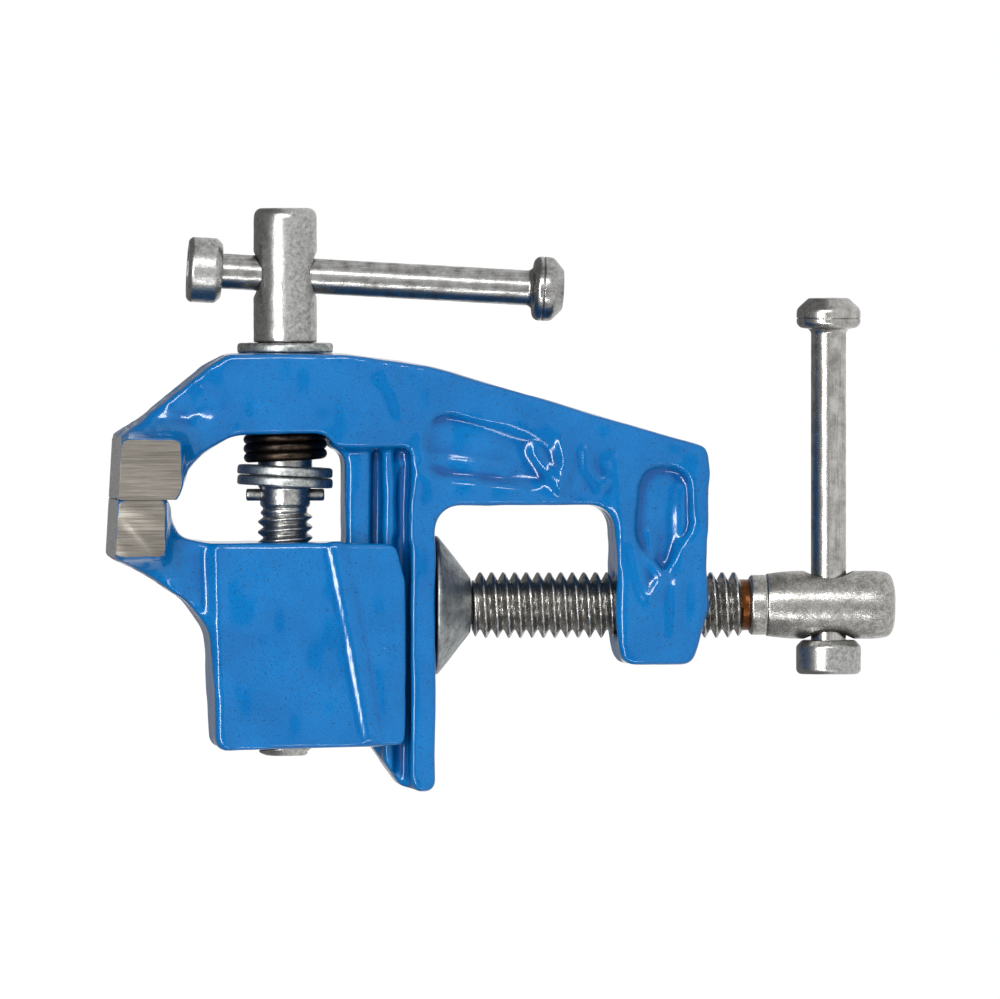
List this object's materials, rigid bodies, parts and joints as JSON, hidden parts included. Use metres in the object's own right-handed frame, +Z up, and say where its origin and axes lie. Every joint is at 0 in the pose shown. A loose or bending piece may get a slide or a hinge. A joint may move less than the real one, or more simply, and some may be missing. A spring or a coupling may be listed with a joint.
{
  "type": "clamp-on table vise",
  "caption": "Small cast-iron table vise: ground jaws closed by a spindle on a T-rail, with a C-clamp, swivel pad and sliding T-bars.",
  "frame": {"origin": "on the table face of the frame casting, at the axis of the clamp screw", "axes": "+Z up in use with the jaws on top, main spindle along Y with its handle at -Y, X along the width of the jaws"},
  "size_m": [0.04, 0.1058, 0.1428],
  "materials": {
    "blue_enamel": "thick glossy enamel over cast iron, ground bare at the jaws",
    "zinc_screw": "zinc plated steel, mottled",
    "zinc_bar": "drawn steel rod, zinc plated",
    "dull_zinc": "dull grey zinc",
    "spring_steel": "black oiled spring wire"
  },
  "bodies": {
    "frame_body": {"frame": "blue_enamel", "spring": "spring_steel"},
    "jaw_body": {"moving_jaw": "blue_enamel"},
    "spindle_body": {"spindle": "zinc_screw", "outer_washer": "dull_zinc", "inner_washer_upper": "dull_zinc", "inner_washer_lower": "dull_zinc", "cross_pin": "zinc_bar"},
    "spindle_bar_body": {"spindle_bar": "zinc_bar", "spindle_bar_cap": "zinc_bar"},
    "pad_body": {"clamp_pad": "dull_zinc"},
    "clamp_screw_body": {"clamp_screw": "zinc_screw"},
    "clamp_bar_body": {"clamp_bar": "zinc_bar", "clamp_bar_cap": "zinc_bar"}
  },
  "joints": [
    {"name": "spindle_turn", "type": "hinge", "parent": "frame_body", "child": "spindle_body", "pos_m": [0, 0, 0.0267], "axis": [0, -1, 0], "range_deg": [0, 4685]},
    {"name": "jaw_slide", "type": "slide", "parent": "frame_body", "child": "jaw_body", "axis": [0, 1, 0], "range_m": [0, 0.0247]},
    {"name": "spindle_bar_slide", "type": "slide", "parent": "spindle_body", "child": "spindle_bar_body", "axis": [0, -0.0553, 0.9985], "range_m": [-0.0053, 0.039]},
    {"name": "clamp_travel", "type": "slide", "parent": "frame_body", "child": "pad_body", "axis": [0, 0, -1], "range_m": [0, 0.0231]},
    {"name": "clamp_turn", "type": "hinge", "parent": "pad_body", "child": "clamp_screw_body", "pos_m": [0, 0, -0.0724], "axis": [0, 0, 1], "range_deg": [0, 3965]},
    {"name": "clamp_bar_slide", "type": "slide", "parent": "clamp_screw_body", "child": "clamp_bar_body", "axis": [0, 1, 0], "range_m": [0, 0.0432]}
  ],
  "couplings": [
    {"joint": "spindle_turn", "follows": "jaw_slide", "rad_per_m": 3306.9},
    {"joint": "clamp_turn", "follows": "clamp_travel", "rad_per_m": 2992}
  ]
}
